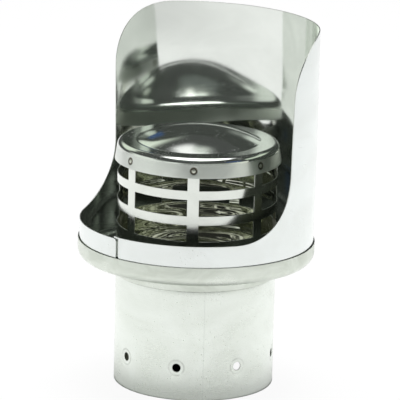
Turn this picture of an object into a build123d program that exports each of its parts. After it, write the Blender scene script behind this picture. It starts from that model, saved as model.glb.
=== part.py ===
from build123d import *
from math import atan2, cos, degrees, radians, sqrt, tan
import os

# Flue terminal of thin stainless sheet, in millimetres, with +Z up along the flue.
# The origin is the centre of the spigot's lower end, and the hood's mouth faces -Y.
# Angles are in degrees round +Z, from -Y towards +X.

# Sheet and fits
SHEET = 0.5  # thickness of every piece
SLIP_FIT = 0.1  # radial clearance between two sheets that slip together
RIM_FIT = 0.2  # radial clearance of the hood in the pan's rim
EDGE_FIT = 0.05  # clearance under an edge that rests on another piece

# Spigot, the tube that joins the flue
SPIGOT_RADIUS = 40.0  # outside
SPIGOT_INSERTION = 56.1  # lower end to the pan's collar
SWAGE_TAPER = 1.2  # from the collar's lower edge up to the reduced end
SWAGE_LENGTH = 11.0
SCREW_HOLES = 8
SCREW_HOLE_RADIUS = 2.1
SCREW_HOLE_HEIGHT = 16.5
SCREW_HOLE_ANGLE = 30.0
DIMPLE_DEPTH = 0.35
DIMPLE_RADIUS = 6.0  # half its height along the tube

# Pan that carries the hood
COLLAR_LENGTH = 7.1
COLLAR_BEND_RADIUS = 1.5  # underneath
PAN_DEPTH = 10.1
PAN_CORNER_RADIUS = 5.0  # outside

# Cage, the slotted tube above the spigot
CAGE_BASE_BAND = 24.2  # lower edge to the first row of windows
CAGE_TOP_BAND = 4.3
CAGE_ROWS = 3
CAGE_BARS = 7
CAGE_BAR_WIDTH = 5.8
CAGE_BAR_ANGLE = 39.2
WINDOW_HEIGHT = 8.2
RING_HEIGHT = 4.6

# Cap pressed over the cage's end
CAP_SEAT_DROP = 3.9  # flat top to the cage's end
CAP_EDGE_RADIUS = 2.0
SKIRT_DROP = 9.7
SKIRT_FLARE = 1.5  # growth in radius over the skirt's drop
DOME_RADIUS = 31.0
DOME_HEIGHT = 7.0
DOME_ROOT_RADIUS = 2.5
WELD_RADIUS = 1.75
WELD_CORE_RADIUS = 1.0
WELD_DEPTH = 0.12

# Hood, the wind shield round the cage
HOOD_RADIUS = 58.5  # outside, where the pan holds it
HOOD_SPREAD = 2.4  # the sheet springs open: its top is this much wider on each side and flatter behind
HOOD_RISE = 108.5  # pan rim to the hood's top
LIP_RISE = 9.7  # pan rim to the lip in front of the cage
MOUTH_SETBACK = 2.4  # the mouth's side edges lie this far behind the axis
MOUTH_CORNER_RADIUS = 30.0
CROWN_CORNER_RADIUS = 30.0
SEAM_STEP = 0.8  # one end of the rolled sheet stands above the other
SEAM_GAP = 0.6
SEAM_LAP = 2.0
SEAM_JOGGLE = 3.0
SEAM_CORNER_RADIUS = 1.5

# Radii that follow from one another
collar_radius = SPIGOT_RADIUS + SLIP_FIT
cage_radius = SPIGOT_RADIUS
swage_radius = cage_radius - SHEET - SLIP_FIT
pan_radius = HOOD_RADIUS + RIM_FIT + SHEET
tongue_radius = HOOD_RADIUS - SHEET - SLIP_FIT

# Levels above the spigot's lower end
pan_bottom = SPIGOT_INSERTION + COLLAR_LENGTH
pan_floor = pan_bottom + SHEET
pan_rim = pan_bottom + PAN_DEPTH
swage_end = SPIGOT_INSERTION + SWAGE_TAPER
hood_top = pan_rim + HOOD_RISE
lip_top = pan_rim + LIP_RISE
seam_top = lip_top + SEAM_STEP

# The hood's lower edge rests in the pan's rounded corner.
corner_inside = PAN_CORNER_RADIUS - SHEET
corner_drop = sqrt(corner_inside**2 - (corner_inside - RIM_FIT) ** 2)
hood_bottom = pan_floor + corner_inside - corner_drop + EDGE_FIT

# The cage's lower edge rests on the taper of the spigot's reduced end, and the collar covers that joint.
taper_share = SHEET / (SPIGOT_RADIUS - swage_radius)
cage_bottom = SPIGOT_INSERTION + taper_share * SWAGE_TAPER + EDGE_FIT
first_window = cage_bottom + CAGE_BASE_BAND
window_pitch = WINDOW_HEIGHT + RING_HEIGHT
cage_top = first_window + CAGE_ROWS * window_pitch - RING_HEIGHT + CAGE_TOP_BAND

# The cap comes to rest where its flared skirt is one slip fit wider than the cage's end.
flare_slope = SKIRT_FLARE / SKIRT_DROP
flare_angle = degrees(atan2(SKIRT_FLARE, SKIRT_DROP))
skirt_wall = SHEET / cos(radians(flare_angle))
cap_top = cage_top + CAP_SEAT_DROP
cap_radius = cage_radius + SLIP_FIT + skirt_wall - CAP_SEAT_DROP * flare_slope
weld_level = cage_top - CAGE_TOP_BAND / 2


def turned(path, side):
    """Sheet of revolution with one face on a path of radius and height."""
    section = make_face(offset(path, amount=SHEET, side=side, closed=True))
    return revolve(Plane.XZ * section, axis=Axis.Z)


def ring(inner, outer, bottom, top):
    """Plain ring round the axis between two levels."""
    return Pos(Z=bottom) * extrude(Circle(outer) - Circle(inner), top - bottom)


def facing(angle, radius, level, tilt=0.0):
    """Place on a round wall, with its own +Z pointing outwards and tilted up."""
    return Pos(Z=level) * Rot(Z=angle - 90) * Pos(X=radius) * Rot(Y=90 - tilt)


def spigot():
    """Tube with a reduced upper end and a row of screw holes, each in a punched dimple."""
    path = Polyline(
        (SPIGOT_RADIUS, 0),
        (SPIGOT_RADIUS, SPIGOT_INSERTION),
        (swage_radius, swage_end),
        (swage_radius, swage_end + SWAGE_LENGTH),
    )
    tube = turned(path, Side.LEFT)
    bore = ring(SPIGOT_RADIUS / 2, SPIGOT_RADIUS - SHEET / 2, 0, SPIGOT_INSERTION)
    punch = DIMPLE_RADIUS**2 / (2 * DIMPLE_DEPTH)
    for index in range(SCREW_HOLES):
        angle = SCREW_HOLE_ANGLE + index * 360 / SCREW_HOLES
        hole = facing(angle, SPIGOT_RADIUS - DIMPLE_DEPTH, SCREW_HOLE_HEIGHT)
        dent = hole * Pos(Z=punch)
        tube += (dent * Sphere(punch + SHEET)) & bore
        tube -= dent * Sphere(punch)
        tube -= hole * Cylinder(SCREW_HOLE_RADIUS, SPIGOT_RADIUS)
    return tube


def drip_pan():
    """Shallow round pan with a rim outside the hood and a collar down round the spigot."""
    path = FilletPolyline(
        (collar_radius + SHEET, SPIGOT_INSERTION),
        (collar_radius + SHEET, pan_bottom),
        (pan_radius, pan_bottom),
        (pan_radius, pan_rim),
        radius=[COLLAR_BEND_RADIUS, PAN_CORNER_RADIUS],
    )
    return turned(path, Side.LEFT)


def window_sector(spread):
    """Flat sector across the cage's wall that spans one window, centred on +X."""
    reach = cage_radius + SHEET
    half = reach * tan(radians(spread / 2))
    wedge = make_face(Polyline((0, 0), (reach, -half), (reach, half), close=True))
    return wedge - Circle(cage_radius - 2 * SHEET)


def slotted_cage():
    """Tube with rows of wide windows between upright bars."""
    tube = ring(cage_radius - SHEET, cage_radius, cage_bottom, cage_top)
    pitch = 360 / CAGE_BARS
    bar = degrees(CAGE_BAR_WIDTH / cage_radius)
    window = extrude(window_sector(pitch - bar), WINDOW_HEIGHT)
    for row in range(CAGE_ROWS):
        for index in range(CAGE_BARS):
            angle = CAGE_BAR_ANGLE - 90 + (index + 0.5) * pitch
            tube -= Pos(Z=first_window + row * window_pitch) * Rot(Z=angle) * window
    return tube


def cage_cap():
    """Pressed cap with a low dome and a flared skirt, spot welded to the cage's bars."""
    dome_foot = (DOME_RADIUS, cap_top)
    cap_edge = (cap_radius, cap_top)
    ball = (DOME_RADIUS**2 + DOME_HEIGHT**2) / (2 * DOME_HEIGHT)
    path = (
        RadiusArc((0, cap_top + DOME_HEIGHT), dome_foot, ball)
        + Line(dome_foot, cap_edge)
        + Line(cap_edge, (cap_radius + SKIRT_FLARE, cap_top - SKIRT_DROP))
    )
    path = fillet(path.vertices().sort_by_distance(dome_foot)[0], DOME_ROOT_RADIUS)
    path = fillet(path.vertices().sort_by_distance(cap_edge)[0], CAP_EDGE_RADIUS)
    cap = turned(path, Side.RIGHT)
    weld_wall = cap_radius + (cap_top - weld_level) * flare_slope
    electrode = Cylinder(WELD_RADIUS, 2 * WELD_DEPTH) - Cylinder(WELD_CORE_RADIUS, 2 * WELD_DEPTH)
    for index in range(CAGE_BARS):
        angle = CAGE_BAR_ANGLE + index * 360 / CAGE_BARS
        cap -= facing(angle, weld_wall, weld_level, flare_angle) * electrode
    return cap


def mouth(lip, side):
    """Space cut from one side of the hood, in front of its side edge and above its lip."""
    front = -2 * HOOD_RADIUS
    over = hood_top + HOOD_RADIUS
    crown_start = (MOUTH_SETBACK, hood_top - CROWN_CORNER_RADIUS)
    crown_end = (MOUTH_SETBACK + CROWN_CORNER_RADIUS, hood_top)
    edge = FilletPolyline((front, lip), (MOUTH_SETBACK, lip), crown_start, radius=MOUTH_CORNER_RADIUS)
    crown = TangentArc(crown_start, crown_end, tangent=(0, 1))
    rest = Polyline(crown_end, (crown_end[0], over), (front, over), (front, lip))
    return extrude(Plane.YZ * make_face(edge + crown + rest), side * 2 * HOOD_RADIUS)


def front_slice(left, right, bottom, top):
    """Upright block through the front of the hood's wall, between two sides and two levels."""
    block = Box(right - left, 8 * SHEET, top - bottom, align=(Align.MIN, Align.CENTER, Align.MIN))
    return Pos(left, -HOOD_RADIUS, bottom) * block


def sprung_core(inset):
    """Solid inside the hood's upper wall, round at the seam and wider than deep at the top."""
    foot = Circle(HOOD_RADIUS - inset)
    head = Ellipse(HOOD_RADIUS + HOOD_SPREAD - inset, HOOD_RADIUS - HOOD_SPREAD - inset)
    return loft([Pos(Z=seam_top) * foot, Pos(Z=hood_top) * head])


def wind_hood():
    """Rolled sheet, open in front above a low lip, with its ends lapped in the middle of the lip."""
    sheet = ring(HOOD_RADIUS - SHEET, HOOD_RADIUS, hood_bottom, seam_top)
    sheet += sprung_core(0) - sprung_core(SHEET)
    sheet -= mouth(lip_top, -1) + mouth(seam_top, 1)
    sheet -= front_slice(0, SEAM_GAP, hood_bottom, hood_top)
    corner = front_slice(-SEAM_CORNER_RADIUS, 0, lip_top - SEAM_CORNER_RADIUS, hood_top)
    rounding = Pos(-SEAM_CORNER_RADIUS, -HOOD_RADIUS, lip_top - SEAM_CORNER_RADIUS)
    sheet -= corner - rounding * Rot(X=90) * Cylinder(SEAM_CORNER_RADIUS, 8 * SHEET)
    joggle_end = SEAM_GAP + SEAM_JOGGLE
    tongue = ring(tongue_radius - SHEET, tongue_radius, hood_bottom, seam_top)
    joggle = ring(tongue_radius - SHEET, HOOD_RADIUS - SHEET / 2, hood_bottom, seam_top)
    sheet += tongue & front_slice(-SEAM_LAP, joggle_end, hood_bottom, seam_top)
    sheet += joggle & front_slice(SEAM_GAP, joggle_end, hood_bottom, seam_top)
    return sheet


os.makedirs("parts", exist_ok=True)
for piece in (spigot, drip_pan, slotted_cage, cage_cap, wind_hood):
    export_step(piece(), f"parts/{piece.__name__}.step")
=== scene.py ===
"""Looks of a flue terminal of thin stainless sheet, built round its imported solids.

Lengths are in metres. Angles go round +Z from -Y towards +X, and the hood's mouth faces -Y.
"""

import logging
import math
from abc import ABC, abstractmethod
from dataclasses import dataclass
from enum import Enum
from functools import cache
from typing import Callable, ClassVar, Sequence

import bmesh
import bpy
from mathutils import Matrix, Vector


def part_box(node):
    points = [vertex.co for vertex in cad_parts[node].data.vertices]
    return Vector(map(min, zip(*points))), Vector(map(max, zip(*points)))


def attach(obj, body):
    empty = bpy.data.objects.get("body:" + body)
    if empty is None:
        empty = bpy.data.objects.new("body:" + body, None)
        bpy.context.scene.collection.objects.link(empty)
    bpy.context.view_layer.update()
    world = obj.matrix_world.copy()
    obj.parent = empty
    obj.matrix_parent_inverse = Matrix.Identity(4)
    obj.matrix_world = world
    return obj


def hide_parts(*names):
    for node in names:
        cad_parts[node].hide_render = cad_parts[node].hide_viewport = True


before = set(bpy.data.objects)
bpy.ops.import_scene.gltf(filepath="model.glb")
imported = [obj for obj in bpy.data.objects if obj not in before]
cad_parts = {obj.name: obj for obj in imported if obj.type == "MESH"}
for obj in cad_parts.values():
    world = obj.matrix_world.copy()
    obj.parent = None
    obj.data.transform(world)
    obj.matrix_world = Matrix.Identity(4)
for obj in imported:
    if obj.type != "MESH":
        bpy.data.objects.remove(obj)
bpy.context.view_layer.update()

LOG = logging.getLogger("flue_terminal")

Point = tuple[float, float]
Span = tuple[float, float]
Colour = tuple[float, float, float]
Keep = Callable[[int, int], bool]
Profile = Callable[[float], float]
Relief = Callable[[float, float], float]
Socket = bpy.types.NodeSocket

MM = 0.001
TURN = 2 * math.pi
SHEET = 0.5 * MM
EDGE_ROUND = 0.12 * MM
EDGE_ANGLE = math.radians(50)
SLIP_FIT = 0.1 * MM
RIM_FIT = 0.2 * MM
TOP_FIT = 0.02 * MM
SAME_POINT = 0.001 * MM
ROUND_STEPS = 168
BEND_STEPS = 8
BLACK: Colour = (0.0, 0.0, 0.0)
WHITE = (1.0, 1.0, 1.0, 1.0)

# A ray's count of mirrors lies on one side or the other of these. Four mirrors are followed.
PAST_ONE_MIRROR = 1.5
PAST_TWO_MIRRORS = 2.5
PAST_THREE_MIRRORS = 3.5

PANEL_ANGLES = ("Azimuth", "Elevation", "Half Width", "Half Height", "Side Blur", "Top Blur")


class Node(Enum):
    """Solids of the terminal, named as in the imported model."""

    SPIGOT = "spigot"
    PAN = "drip_pan"
    CAGE = "slotted_cage"
    CAP = "cage_cap"
    HOOD = "wind_hood"


class Mirrored(Enum):
    """Rays that show a part of the room.

    Attributes:
        ALWAYS: All of them.
        SHARP: Those off one or two mirrors.
        ONCE: Those off one mirror at most.
        DEEP: Those off three mirrors or more.
    """

    ALWAYS = "always"
    SHARP = "sharp"
    ONCE = "once"
    DEEP = "deep"


def spread(start: float, end: float, steps: int) -> list[float]:
    """Even values from start to end, both ends included."""
    return [start + (end - start) * step / steps for step in range(steps + 1)]


def on_wall(angle: float, radius: float, level: float) -> Vector:
    """Place at an angle round the axis, a radius from it and a level above the floor."""
    return Vector((radius * math.sin(angle), -radius * math.cos(angle), level))


def ease(value: float) -> float:
    """Smooth step from 0 to 1 while the value goes from 0 to 1."""
    value = min(max(value, 0.0), 1.0)
    return value * value * (3 - 2 * value)


def everywhere(column: int, row: int) -> bool:
    """Test of a column and row that is always true."""
    return True


def spaced(count: int, first: float, half: float, steps: int, gap_steps: int) -> list[float]:
    """Column angles of a wall with even fields round it and gaps between them.

    Args:
        count: Number of fields.
        first: Angle of the first field's middle.
        half: Half the angle of a field.
        steps: Mesh steps in a field.
        gap_steps: Mesh steps in a gap.

    Returns:
        The angles, once round from the first field on.
    """
    pitch = TURN / count
    angles: list[float] = []
    for index in range(count):
        middle = first + index * pitch
        angles += spread(middle - half, middle + half, steps)[:-1]
        angles += spread(middle + half, middle + pitch - half, gap_steps)[:-1]
    return angles


def linked(name: str, data: bpy.types.ID) -> bpy.types.Object:
    """New object in the scene.

    Args:
        name: Name of the object.
        data: Its mesh, lamp or camera.

    Returns:
        The object, not yet placed.
    """
    made = bpy.data.objects.new(name, data)
    bpy.context.scene.collection.objects.link(made)
    return made


def solid_radius(node: Node) -> float:
    """Greatest radius of a round solid."""
    low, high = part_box(node.value)
    return (high[0] - low[0]) / 2


def rounded_path(corners: Sequence[Point], radii: Sequence[float]) -> list[Point]:
    """Path of radius and level with an arc in place of each inner corner.

    Args:
        corners: Ends and corners of the path, in order.
        radii: Radius of the arc at each inner corner.

    Returns:
        The path's points, with the arcs' ends among them.
    """
    path = [corners[0]]
    for before, corner, after, radius in zip(corners, corners[1:], corners[2:], radii):
        middle = Vector(corner)
        back = (Vector(before) - middle).normalized()
        ahead = (Vector(after) - middle).normalized()
        half = back.angle(ahead) / 2
        centre = middle + (back + ahead).normalized() * radius / math.sin(half)
        start = middle + back * radius / math.tan(half) - centre
        sweep = start.angle_signed(middle + ahead * radius / math.tan(half) - centre)
        for angle in spread(0.0, -sweep, BEND_STEPS):
            path.append(tuple(centre + Matrix.Rotation(angle, 2) @ start))
    return path + [corners[-1]]


class Skin:
    """Outer side of a sheet, gathered as one mesh that modifiers thicken."""

    def __init__(self) -> None:
        """Starts an empty mesh."""
        self.mesh = bmesh.new()

    def grid(
        self,
        columns: Sequence[Sequence[Vector]],
        closed: bool = False,
        keep: Keep = everywhere,
    ) -> None:
        """Adds a grid of four-sided faces.

        Args:
            columns: Points of each column from its first row on, in order round the axis.
            closed: Whether the last column joins the first.
            keep: Says whether the face at a column and row is made.
        """
        verts = [[self.mesh.verts.new(point) for point in column] for column in columns]
        count = len(verts)
        for column in range(count if closed else count - 1):
            left, right = verts[column], verts[(column + 1) % count]
            for row in range(len(left) - 1):
                if keep(column, row):
                    self.mesh.faces.new((left[row], right[row], right[row + 1], left[row + 1]))

    def turned(self, path: Sequence[Point], angles: Sequence[float], keep: Keep = everywhere) -> None:
        """Adds a closed wall of revolution.

        Args:
            path: Radius and level of each row.
            angles: Angle of each column, once round.
            keep: Says whether the face at a column and row is made.
        """
        self.grid([[on_wall(angle, *place) for place in path] for angle in angles], True, keep)

    def piece(self, name: str) -> bpy.types.Object:
        """Makes the object: joined points, smooth shading, the sheet's thickness and eased edges.

        Args:
            name: Name of the piece.

        Returns:
            The new object, linked to the scene, with the outside, inside and edges as its three slots.
        """
        bmesh.ops.remove_doubles(self.mesh, verts=self.mesh.verts, dist=SAME_POINT)
        bmesh.ops.dissolve_degenerate(self.mesh, edges=self.mesh.edges, dist=SAME_POINT)
        loose = [vert for vert in self.mesh.verts if not vert.link_faces]
        bmesh.ops.delete(self.mesh, geom=loose, context="VERTS")
        mesh = bpy.data.meshes.new(name)
        self.mesh.to_mesh(mesh)
        self.mesh.free()
        mesh.shade_smooth()
        piece = linked(name, mesh)
        thicken = piece.modifiers.new("sheet_thickness", "SOLIDIFY")
        thicken.thickness = SHEET
        thicken.offset = -1.0
        thicken.use_even_offset = True
        thicken.use_quality_normals = True
        thicken.material_offset = 1
        thicken.material_offset_rim = 2
        bevel = piece.modifiers.new("eased_edges", "BEVEL")
        bevel.width = EDGE_ROUND
        bevel.segments = 2
        bevel.limit_method = "ANGLE"
        bevel.angle_limit = EDGE_ANGLE
        piece.modifiers.new("even_shading", "WEIGHTED_NORMAL")
        return piece


@dataclass(frozen=True)
class MarkRow:
    """Round marks pressed or punched into a wall at even steps round the axis.

    Attributes:
        count: Number of marks.
        first_angle: Angle of the first mark.
        level: Height of their centres.
        wall_radius: Radius of the wall there.
        reach: Half the side of the square of mesh that carries one mark.
        rings: Radii of the mesh rings in that square, from the middle out.
        pierced: Whether the first ring is the edge of a hole.
        steps: Mesh steps along a side of the square.
        gap_steps: Mesh steps between two squares.
    """

    count: int
    first_angle: float
    level: float
    wall_radius: float
    reach: float
    rings: tuple[float, ...]
    pierced: bool
    steps: int = 8
    gap_steps: int = 14

    def angles(self) -> list[float]:
        """Column angles, once round, of a wall that carries the marks."""
        half = self.reach / self.wall_radius
        return spaced(self.count, self.first_angle, half, self.steps, self.gap_steps)

    def levels(self, bottom: float, top: float, below: int, above: int) -> list[float]:
        """Row levels of a wall that carries the marks.

        Args:
            bottom: Level of the wall's lower edge.
            top: Level of its upper edge.
            below: Mesh steps below the marks.
            above: Mesh steps above them.

        Returns:
            The levels from the bottom up.
        """
        low, high = self.level - self.reach, self.level + self.reach
        lower = spread(bottom, low, below)[:-1]
        return lower + spread(low, high, self.steps)[:-1] + spread(high, top, above)

    def spacing(self, position: Socket) -> dict[str, object]:
        """Inputs with which the round_marks group finds the marks.

        Args:
            position: Place on the surface.

        Returns:
            The value or source socket of each named input.
        """
        return {
            "Position": position,
            "Pitch": TURN / self.count,
            "First": self.first_angle,
            "Radius": self.wall_radius,
            "Level": self.level,
        }

    def leaves(self, below: int) -> Keep:
        """Test of a column and row that is false inside the marks' squares."""
        pitch = self.steps + self.gap_steps
        return lambda column, row: column % pitch >= self.steps or not below <= row < below + self.steps

    def fill(self, skin: Skin, wall: Profile, relief: Relief) -> None:
        """Fills the squares with rings of faces.

        Args:
            skin: Mesh that takes the faces.
            wall: Radius of the plain wall at a level.
            relief: Height of the mark's surface at an offset round and up from its centre.
        """
        sides = spread(-self.reach, self.reach, self.steps)[:-1]
        low_edge = [(side, -self.reach) for side in sides]
        square = low_edge + [(-v, u) for u, v in low_edge]
        square += [(-u, -v) for u, v in square]
        rings = [[Vector(corner).normalized() * ring for corner in square] for ring in self.rings]
        rings.append([Vector(corner) for corner in square])
        if not self.pierced:
            rings.insert(0, [Vector((0.0, 0.0))] * len(square))
        for index in range(self.count):
            middle = self.first_angle + index * TURN / self.count
            columns = []
            for spoke in zip(*rings):
                columns.append([self._place(middle, offset, wall, relief) for offset in reversed(spoke)])
            skin.grid(columns, closed=True)

    def _place(self, middle: float, offset: Vector, wall: Profile, relief: Relief) -> Vector:
        """Place on the marked wall.

        Args:
            middle: Angle of the mark's centre.
            offset: Offset round and up from that centre.
            wall: Radius of the plain wall at a level.
            relief: Height of the mark's surface at an offset round and up from its centre.

        Returns:
            The place.
        """
        level = self.level + offset.y
        radius = wall(level) + relief(offset.x, offset.y)
        return on_wall(middle + offset.x / self.wall_radius, radius, level)


class Shader:
    """Shorthand for adding and linking the nodes of one tree."""

    def __init__(self, tree: bpy.types.NodeTree) -> None:
        """Keeps the tree and empties it."""
        self.tree = tree
        tree.nodes.clear()

    def add(self, kind: str, inputs: dict | None = None, **settings: object) -> bpy.types.Node:
        """Adds a node.

        Args:
            kind: Type of the node, without its ShaderNode prefix.
            inputs: Value or source socket for each named or numbered input.
            settings: Properties of the node.

        Returns:
            The new node.
        """
        prefix = "" if kind.startswith("NodeGroup") else "ShaderNode"
        node = self.tree.nodes.new(prefix + kind)
        for name, value in settings.items():
            setattr(node, name, value)
        for key, value in (inputs or {}).items():
            self.feed(node.inputs[key], value)
        return node

    def feed(self, into: Socket, value: object) -> None:
        """Links a socket or sets a value on an input.

        Args:
            into: Input that takes it.
            value: Source socket or plain value.
        """
        if isinstance(value, bpy.types.NodeSocket):
            self.tree.links.new(value, into)
        else:
            into.default_value = value

    def math(self, operation: str, first: object, second: object = 0.0, third: object = 0.0) -> Socket:
        """Result of a Math node."""
        return self.add("Math", {0: first, 1: second, 2: third}, operation=operation).outputs[0]

    def vector(self, operation: str, first: object, second: object = (0.0, 0.0, 0.0)) -> bpy.types.Node:
        """Vector Math node."""
        return self.add("VectorMath", {0: first, 1: second}, operation=operation)

    def step(self, value: Socket, low: object, high: object) -> Socket:
        """Mask that goes smoothly from 0 at low to 1 at high, where low may be the greater."""
        inputs = {"Value": value, "From Min": low, "From Max": high}
        return self.add("MapRange", inputs, interpolation_type="SMOOTHSTEP").outputs["Result"]

    def level(self, place: Socket) -> Socket:
        """Height in a place or direction."""
        return self.add("SeparateXYZ", {0: place}).outputs["Z"]

    def around(self, place: Socket, first: Socket, pitch: object) -> Socket:
        """Angle round the axis, counted from the nearest of even steps.

        Args:
            place: Place or direction.
            first: Angle of the first step.
            pitch: Angle from one step to the next.

        Returns:
            The angle, below 0 to the left of the step.
        """
        parts = self.add("SeparateXYZ", {0: place}).outputs
        angle = self.math("ARCTAN2", parts["X"], self.math("MULTIPLY", parts["Y"], -1.0))
        half = self.math("MULTIPLY", pitch, 0.5)
        shifted = self.math("ADD", self.math("SUBTRACT", angle, first), half)
        return self.math("SUBTRACT", self.math("FLOORED_MODULO", shifted, pitch), half)

    def mix(self, mask: object, plain: object, marked: object) -> Socket:
        """Colour between two colours.

        Args:
            mask: Share of the second colour.
            plain: First colour.
            marked: Second colour.

        Returns:
            The mixed colour.
        """
        node = self.add("Mix", data_type="RGBA")
        for name, value in (("Factor_Float", mask), ("A_Color", plain), ("B_Color", marked)):
            socket = next(entry for entry in node.inputs if entry.identifier == name)
            self.feed(socket, (*value, 1.0) if isinstance(value, tuple) else value)
        return next(entry for entry in node.outputs if entry.identifier == "Result_Color")

    def group(self, tree: bpy.types.NodeTree, inputs: dict) -> bpy.types.bpy_prop_collection:
        """Outputs of a node group that is placed with its own values."""
        return self.add("Group", inputs, node_tree=tree).outputs


def new_group(
    name: str,
    inputs: dict[str, str],
    outputs: Sequence[str],
) -> tuple[Shader, bpy.types.Node]:
    """Starts a node group.

    Args:
        name: Name of the group.
        inputs: Kind of each input socket, Float or Vector, by its name.
        outputs: Names of the output values.

    Returns:
        The group's shorthand and its input node.
    """
    tree = bpy.data.node_groups.new(name, "ShaderNodeTree")
    for socket, kind in inputs.items():
        tree.interface.new_socket(socket, in_out="INPUT", socket_type="NodeSocket" + kind)
    for socket in outputs:
        tree.interface.new_socket(socket, in_out="OUTPUT", socket_type="NodeSocketFloat")
    shader = Shader(tree)
    return shader, shader.add("NodeGroupInput")


@cache
def fine_lines() -> bpy.types.NodeTree:
    """Fine lines of rolling or pressing, which run round the axis on upright and on flat walls alike.

    Returns:
        The group, which puts out Lines.
    """
    shader, given = new_group("fine_lines", {"Position": "Vector", "Stretch": "Vector"}, ["Lines"])
    place = shader.add("SeparateXYZ", {0: given.outputs["Position"]}).outputs
    flat = shader.add("CombineXYZ", {"X": place["X"], "Y": place["Y"]}).outputs[0]
    outwards = shader.vector("LENGTH", flat).outputs["Value"]
    across = shader.math("ADD", place["Z"], outwards)
    along = shader.add("CombineXYZ", {"X": place["X"], "Y": place["Y"], "Z": across}).outputs[0]
    drawn = shader.vector("MULTIPLY", along, given.outputs["Stretch"]).outputs[0]
    noise = shader.add("TexNoise", {"Vector": drawn, "Scale": 1.0, "Detail": 3.0, "Roughness": 0.6})
    shader.add("NodeGroupOutput", {"Lines": noise.outputs[0]})
    return shader.tree


@cache
def mottling() -> bpy.types.NodeTree:
    """Cloudy patches of handling, longer round the sheet than up it.

    Returns:
        The group, which puts out Cloud.
    """
    shader, given = new_group("mottling", {"Position": "Vector", "Patch": "Float"}, ["Cloud"])
    scale = shader.math("DIVIDE", 1.0, given.outputs["Patch"])
    flattened = shader.vector("MULTIPLY", given.outputs["Position"], (1.0, 1.0, 1.8)).outputs[0]
    inputs = {"Vector": flattened, "Scale": scale, "Detail": 5.0, "Roughness": 0.58, "Distortion": 0.7}
    noise = shader.add("TexNoise", inputs)
    shader.add("NodeGroupOutput", {"Cloud": shader.step(noise.outputs[0], 0.32, 0.68)})
    return shader.tree


@cache
def handling_scratches() -> bpy.types.NodeTree:
    """Sparse hair scratches in two directions, broken up so that none runs far.

    Returns:
        The group, which puts out Scratch.
    """
    wanted = {"Position": "Vector", "Amount": "Float"}
    shader, given = new_group("handling_scratches", wanted, ["Scratch"])
    total: object = 0.0
    for tilt, stretch in ((0.5, (1500.0, 1500.0, 55.0)), (1.25, (1200.0, 1200.0, 38.0))):
        inputs = {"Vector": given.outputs["Position"], "Rotation": (tilt, tilt / 2, 0.0)}
        turned = shader.add("Mapping", inputs, vector_type="TEXTURE").outputs[0]
        drawn = shader.vector("MULTIPLY", turned, stretch).outputs[0]
        noise = shader.add("TexNoise", {"Vector": drawn, "Scale": 1.0, "Detail": 1.0})
        total = shader.math("ADD", total, shader.step(noise.outputs[0], 0.69, 0.76))
    patch = shader.add("TexNoise", {"Vector": given.outputs["Position"], "Scale": 55.0, "Detail": 1.0})
    broken = shader.math("MULTIPLY", total, shader.step(patch.outputs[0], 0.42, 0.6))
    shader.add("NodeGroupOutput", {"Scratch": shader.math("MULTIPLY", broken, given.outputs["Amount"])})
    return shader.tree


@cache
def sheet_swell() -> bpy.types.NodeTree:
    """Slow waves of a thin sheet, which bend what it mirrors.

    Returns:
        The group, which puts out Swell.
    """
    wanted = {"Position": "Vector", "Length": "Float", "Flatness": "Float"}
    shader, given = new_group("sheet_swell", wanted, ["Swell"])
    scale = shader.math("DIVIDE", 1.0, given.outputs["Length"])
    upright = shader.add("CombineXYZ", {"X": 1.0, "Y": 1.0, "Z": given.outputs["Flatness"]}).outputs[0]
    drawn = shader.vector("MULTIPLY", given.outputs["Position"], upright).outputs[0]
    noise = shader.add("TexNoise", {"Vector": drawn, "Scale": scale, "Detail": 0.0})
    shader.add("NodeGroupOutput", {"Swell": noise.outputs[0]})
    return shader.tree


@cache
def dust_specks() -> bpy.types.NodeTree:
    """Fine dust and pits, thicker in some patches.

    Returns:
        The group, which puts out Dust.
    """
    shader, given = new_group("dust_specks", {"Position": "Vector", "Amount": "Float"}, ["Dust"])
    place = given.outputs["Position"]
    cells = shader.add("TexVoronoi", {"Vector": place, "Scale": 900.0}, distance="EUCLIDEAN")
    specks = shader.step(cells.outputs["Distance"], 0.26, 0.1)
    patch = shader.add("TexNoise", {"Vector": place, "Scale": 110.0, "Detail": 4.0, "Roughness": 0.7})
    patchy = shader.math("MULTIPLY", specks, shader.step(patch.outputs[0], 0.46, 0.66))
    shader.add("NodeGroupOutput", {"Dust": shader.math("MULTIPLY", patchy, given.outputs["Amount"])})
    return shader.tree


@cache
def soft_panel() -> bpy.types.NodeTree:
    """Mask of a soft panel of the room, by direction.

    Returns:
        The group, which puts out Mask.
    """
    wanted = {"Direction": "Vector"} | dict.fromkeys(PANEL_ANGLES, "Float")
    shader, given = new_group("soft_panel", wanted, ["Mask"])
    panel = given.outputs
    aside = shader.around(panel["Direction"], panel["Azimuth"], TURN)
    height = shader.math("ARCSINE", shader.level(panel["Direction"]))
    above = shader.math("SUBTRACT", height, panel["Elevation"])
    mask: object = 1.0
    for offset, half, blur in ((aside, "Half Width", "Side Blur"), (above, "Half Height", "Top Blur")):
        faded = shader.math("ADD", panel[half], panel[blur])
        full = shader.math("SUBTRACT", panel[half], panel[blur])
        mask = shader.math("MULTIPLY", mask, shader.step(shader.math("ABSOLUTE", offset), faded, full))
    shader.add("NodeGroupOutput", {"Mask": mask})
    return shader.tree


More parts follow.
